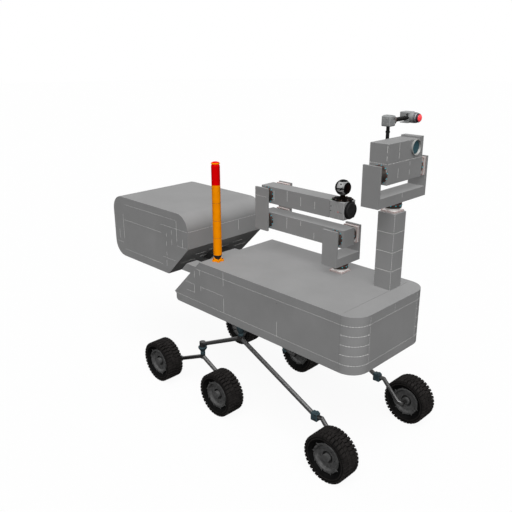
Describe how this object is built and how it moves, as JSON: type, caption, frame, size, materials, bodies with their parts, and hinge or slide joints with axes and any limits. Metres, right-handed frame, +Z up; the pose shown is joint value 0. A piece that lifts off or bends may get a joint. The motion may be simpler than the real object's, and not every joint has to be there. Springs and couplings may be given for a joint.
{
  "type": "planetary rover",
  "caption": "Planetary rover on lugged wheels with rocker and bogie frames, a slanted rear pod, a folded deck arm, a signal column and a mast with a pan and tilt sensor head",
  "frame": {"origin": "on the ground under the middle of the vehicle, at the bottom centre of its box", "axes": "+X forward, +Y to the left, +Z up"},
  "size_m": [1.954, 0.788, 1.6541],
  "materials": {
    "hull_paint": "satin grey paint",
    "black_plastic": "matt",
    "gloss_black": "gloss",
    "beacon_orange": "satin",
    "beacon_red": "satin",
    "light_alloy": "machined",
    "grey_alloy": "blasted",
    "housing_grey": "satin",
    "lens_glass": "gloss",
    "lamp_red": "gloss",
    "silver_shell": "gloss metallic",
    "tyre_rubber": "moulded",
    "rim_grey": "satin",
    "fitting_teal": "satin",
    "tube_steel": "dark, polished on top"
  },
  "bodies": {
    "chassis": {"hull": "hull_paint", "rear_pod": "hull_paint", "pod_neck": "black_plastic", "beacon_foot": "beacon_orange", "beacon_neck": "black_plastic", "beacon_tube": "beacon_orange", "beacon_cap": "beacon_red", "mast": "hull_paint", "mast_adapter": "light_alloy", "arm_adapter": "light_alloy", "hull_pivot_right": "fitting_teal", "hull_pivot_left": "fitting_teal", "rocker_right": "tube_steel", "rocker_left": "tube_steel", "bogie_pivot_right": "fitting_teal", "bogie_pivot_left": "fitting_teal", "bogie_right": "tube_steel", "bogie_left": "tube_steel"},
    "wheel_front_right": {"tyre_front_right": "tyre_rubber", "rim_front_right": "rim_grey"},
    "wheel_front_left": {"tyre_front_left": "tyre_rubber", "rim_front_left": "rim_grey"},
    "wheel_middle_right": {"tyre_middle_right": "tyre_rubber", "rim_middle_right": "rim_grey"},
    "wheel_middle_left": {"tyre_middle_left": "tyre_rubber", "rim_middle_left": "rim_grey"},
    "wheel_rear_right": {"tyre_rear_right": "tyre_rubber", "rim_rear_right": "rim_grey"},
    "wheel_rear_left": {"tyre_rear_left": "tyre_rubber", "rim_rear_left": "rim_grey"},
    "arm_turret": {"arm_yoke": "hull_paint"},
    "lower_arm": {"lower_link": "hull_paint"},
    "elbow": {"elbow_plate_right": "hull_paint", "elbow_plate_left": "hull_paint"},
    "upper_arm": {"upper_link": "hull_paint", "wrist_housing": "housing_grey", "eye_foot": "gloss_black", "eye": "silver_shell"},
    "tool_flange": {"wrist_flange": "gloss_black"},
    "head_turret": {"head_yoke": "hull_paint"},
    "sensor_head": {"head_beam": "hull_paint", "sensor_housing": "hull_paint", "lens": "lens_glass", "boom_rod": "gloss_black", "boom_clamp": "grey_alloy", "boom_arm": "gloss_black", "lamp": "grey_alloy", "lamp_lens": "lamp_red"}
  },
  "joints": [
    {"name": "wheel_front_right_spin", "type": "hinge", "parent": "chassis", "child": "wheel_front_right", "pos_m": [0.852, -0.34, 0.125], "axis": [0, 1, 0], "continuous": true},
    {"name": "wheel_front_left_spin", "type": "hinge", "parent": "chassis", "child": "wheel_front_left", "pos_m": [0.852, 0.34, 0.125], "axis": [0, 1, 0], "continuous": true},
    {"name": "wheel_middle_right_spin", "type": "hinge", "parent": "chassis", "child": "wheel_middle_right", "pos_m": [0.073, -0.34, 0.125], "axis": [0, 1, 0], "continuous": true},
    {"name": "wheel_middle_left_spin", "type": "hinge", "parent": "chassis", "child": "wheel_middle_left", "pos_m": [0.073, 0.34, 0.125], "axis": [0, 1, 0], "continuous": true},
    {"name": "wheel_rear_right_spin", "type": "hinge", "parent": "chassis", "child": "wheel_rear_right", "pos_m": [-0.464, -0.34, 0.125], "axis": [0, 1, 0], "continuous": true},
    {"name": "wheel_rear_left_spin", "type": "hinge", "parent": "chassis", "child": "wheel_rear_left", "pos_m": [-0.464, 0.34, 0.125], "axis": [0, 1, 0], "continuous": true},
    {"name": "arm_yaw", "type": "hinge", "parent": "chassis", "child": "arm_turret", "pos_m": [0.488, 0.15, 0.8503], "axis": [0, 0, 1], "range_deg": [-100, 100]},
    {"name": "shoulder_pitch", "type": "hinge", "parent": "arm_turret", "child": "lower_arm", "pos_m": [0.488, 0.15, 1.0218], "axis": [0, 1, 0], "range_deg": [0, 45]},
    {"name": "elbow_low_pitch", "type": "hinge", "parent": "lower_arm", "child": "elbow", "pos_m": [0, 0.15, 1.0218], "axis": [0, -1, 0], "range_deg": [0, 120]},
    {"name": "elbow_high_pitch", "type": "hinge", "parent": "elbow", "child": "upper_arm", "pos_m": [0, 0.15, 1.1693], "axis": [0, -1, 0], "range_deg": [0, 170]},
    {"name": "wrist_roll", "type": "hinge", "parent": "upper_arm", "child": "tool_flange", "pos_m": [0.5328, 0.15, 1.1693], "axis": [1, 0, 0], "range_deg": [-180, 180]},
    {"name": "head_pan", "type": "hinge", "parent": "chassis", "child": "head_turret", "pos_m": [0.782, 0.15, 1.2333], "axis": [0, 0, 1], "range_deg": [-170, 170]},
    {"name": "head_tilt", "type": "hinge", "parent": "head_turret", "child": "sensor_head", "pos_m": [0.782, 0.15, 1.4093], "axis": [0, 1, 0], "range_deg": [-45, 60]}
  ]
}
